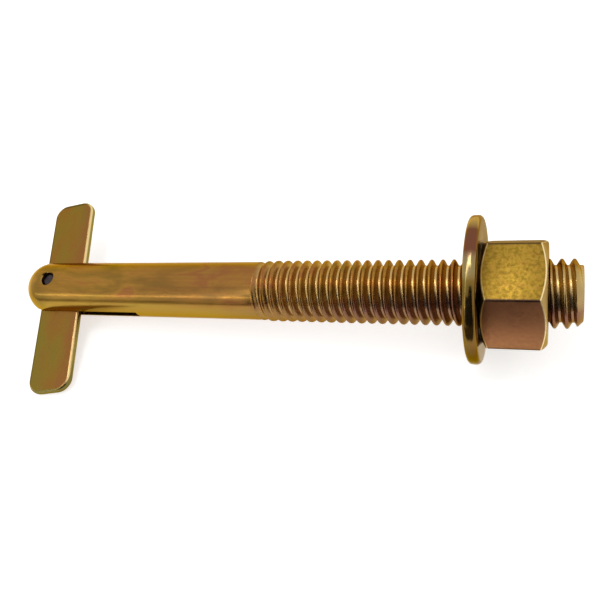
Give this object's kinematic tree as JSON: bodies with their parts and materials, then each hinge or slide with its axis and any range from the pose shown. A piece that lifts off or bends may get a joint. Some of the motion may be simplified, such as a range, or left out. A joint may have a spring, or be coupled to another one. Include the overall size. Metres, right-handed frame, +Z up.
{
  "type": "toggle screw anchor",
  "caption": "Slotted stud whose pinned toggle bar folds into its tip to pass through a hole, with a flat washer and a hex nut on its thread.",
  "frame": {"origin": "on the table, below the middle of the anchor's bounding box", "axes": "+X along the stud from its domed tip to its nut, +Y along the toggle bar's short arm, +Z up"},
  "size_m": [0.092, 0.036, 0.0209],
  "materials": {
    "plated_stud": "yellow-passivated zinc plating on rolled steel, satin",
    "plated_bar": "yellow-passivated zinc plating on sheared flat bar, satin",
    "plated_pin": "yellow-passivated zinc plating on a steel pin, dark",
    "plated_washer": "yellow-passivated zinc plating on a punched washer, satin",
    "plated_nut": "yellow-passivated zinc plating on a forged nut, satin"
  },
  "bodies": {
    "stud": {"threaded_stud": "plated_stud", "pivot_pin": "plated_pin"},
    "toggle": {"toggle_bar": "plated_bar"},
    "washer": {"flat_washer": "plated_washer"},
    "nut": {"hex_nut": "plated_nut"}
  },
  "joints": [
    {"name": "toggle_swing", "type": "hinge", "parent": "stud", "child": "toggle", "pos_m": [-0.03972, 0.00086, 0.00469], "axis": [0.0688, 0.2175, -0.9736], "range_deg": [-49, 99.8]},
    {"name": "washer_slide", "type": "slide", "parent": "stud", "child": "washer", "axis": [0.9975, 0, 0.0704], "range_m": [-0.028, 0.0044]},
    {"name": "nut_turn", "type": "hinge", "parent": "washer", "child": "nut", "pos_m": [0.03284, 0.00086, 0.00981], "axis": [0.9975, 0, 0.0704], "range_deg": [-6380, 1028]}
  ],
  "couplings": [
    {"joint": "nut_turn", "follows": "washer_slide", "rad_per_m": 3957.9}
  ]
}
